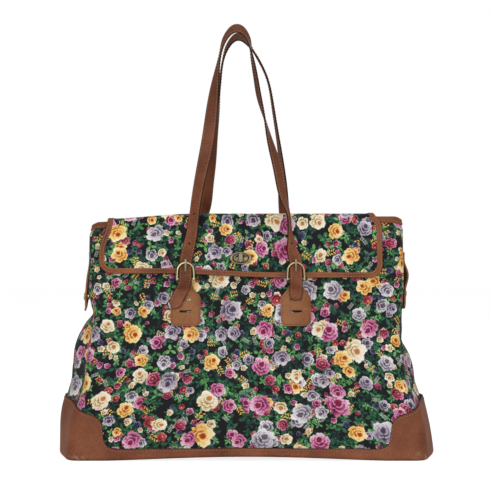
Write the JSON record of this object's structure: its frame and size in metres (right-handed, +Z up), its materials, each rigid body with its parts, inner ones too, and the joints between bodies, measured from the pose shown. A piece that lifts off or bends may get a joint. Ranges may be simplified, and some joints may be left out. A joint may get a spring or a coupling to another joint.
{
  "type": "tote bag",
  "caption": "Weekender tote of printed fabric in a leather boot, with a turn-lock flap over its mouth and buckled shoulder handles.",
  "frame": {"origin": "middle of the base, on the surface that the bag stands on", "axes": "+Z up, the front with the turn lock and the flap's long side towards -Y, +X to the right seen from the front"},
  "size_m": [0.5328, 0.2128, 0.6117],
  "materials": {
    "print_fabric": "printed woven cotton, dark ground",
    "brown_leather": "waxed, worn pale at the corners",
    "trim_leather": "matte, whip-stitched",
    "strap_leather": "smooth, edge-stitched",
    "tan_leather": "smooth, stitched",
    "aged_brass": "antiqued, rubbed bright on the edges"
  },
  "bodies": {
    "bag": {"front_panel": "print_fabric", "back_panel": "print_fabric", "flap": "print_fabric", "leather_base": "brown_leather", "mouth_binding": "trim_leather", "flap_binding": "trim_leather", "front_handle": "strap_leather", "rear_handle": "strap_leather", "lock_eyelet_plate": "aged_brass", "lock_backing_plate": "aged_brass", "lock_base_plate": "aged_brass", "tab_front_left": "tan_leather", "buckle_front_left": "aged_brass", "buckle_tongue_front_left": "aged_brass", "tab_front_right": "tan_leather", "buckle_front_right": "aged_brass", "buckle_tongue_front_right": "aged_brass", "tab_rear_left": "tan_leather", "buckle_rear_left": "aged_brass", "buckle_tongue_rear_left": "aged_brass", "tab_rear_right": "tan_leather", "buckle_rear_right": "aged_brass", "buckle_tongue_rear_right": "aged_brass", "side_strap_left": "tan_leather", "snap_cap_left": "aged_brass", "snap_socket_left": "aged_brass", "snap_stud_left": "aged_brass", "side_strap_right": "tan_leather", "snap_cap_right": "aged_brass", "snap_socket_right": "aged_brass", "snap_stud_right": "aged_brass"},
    "knob": {"lock_knob": "aged_brass"}
  },
  "joints": [
    {"name": "lock_turn", "type": "hinge", "parent": "bag", "child": "knob", "pos_m": [-0.0085, -0.05876, 0.27581], "axis": [0, -0.9862, 0.1654], "range_deg": [0, 90]}
  ]
}
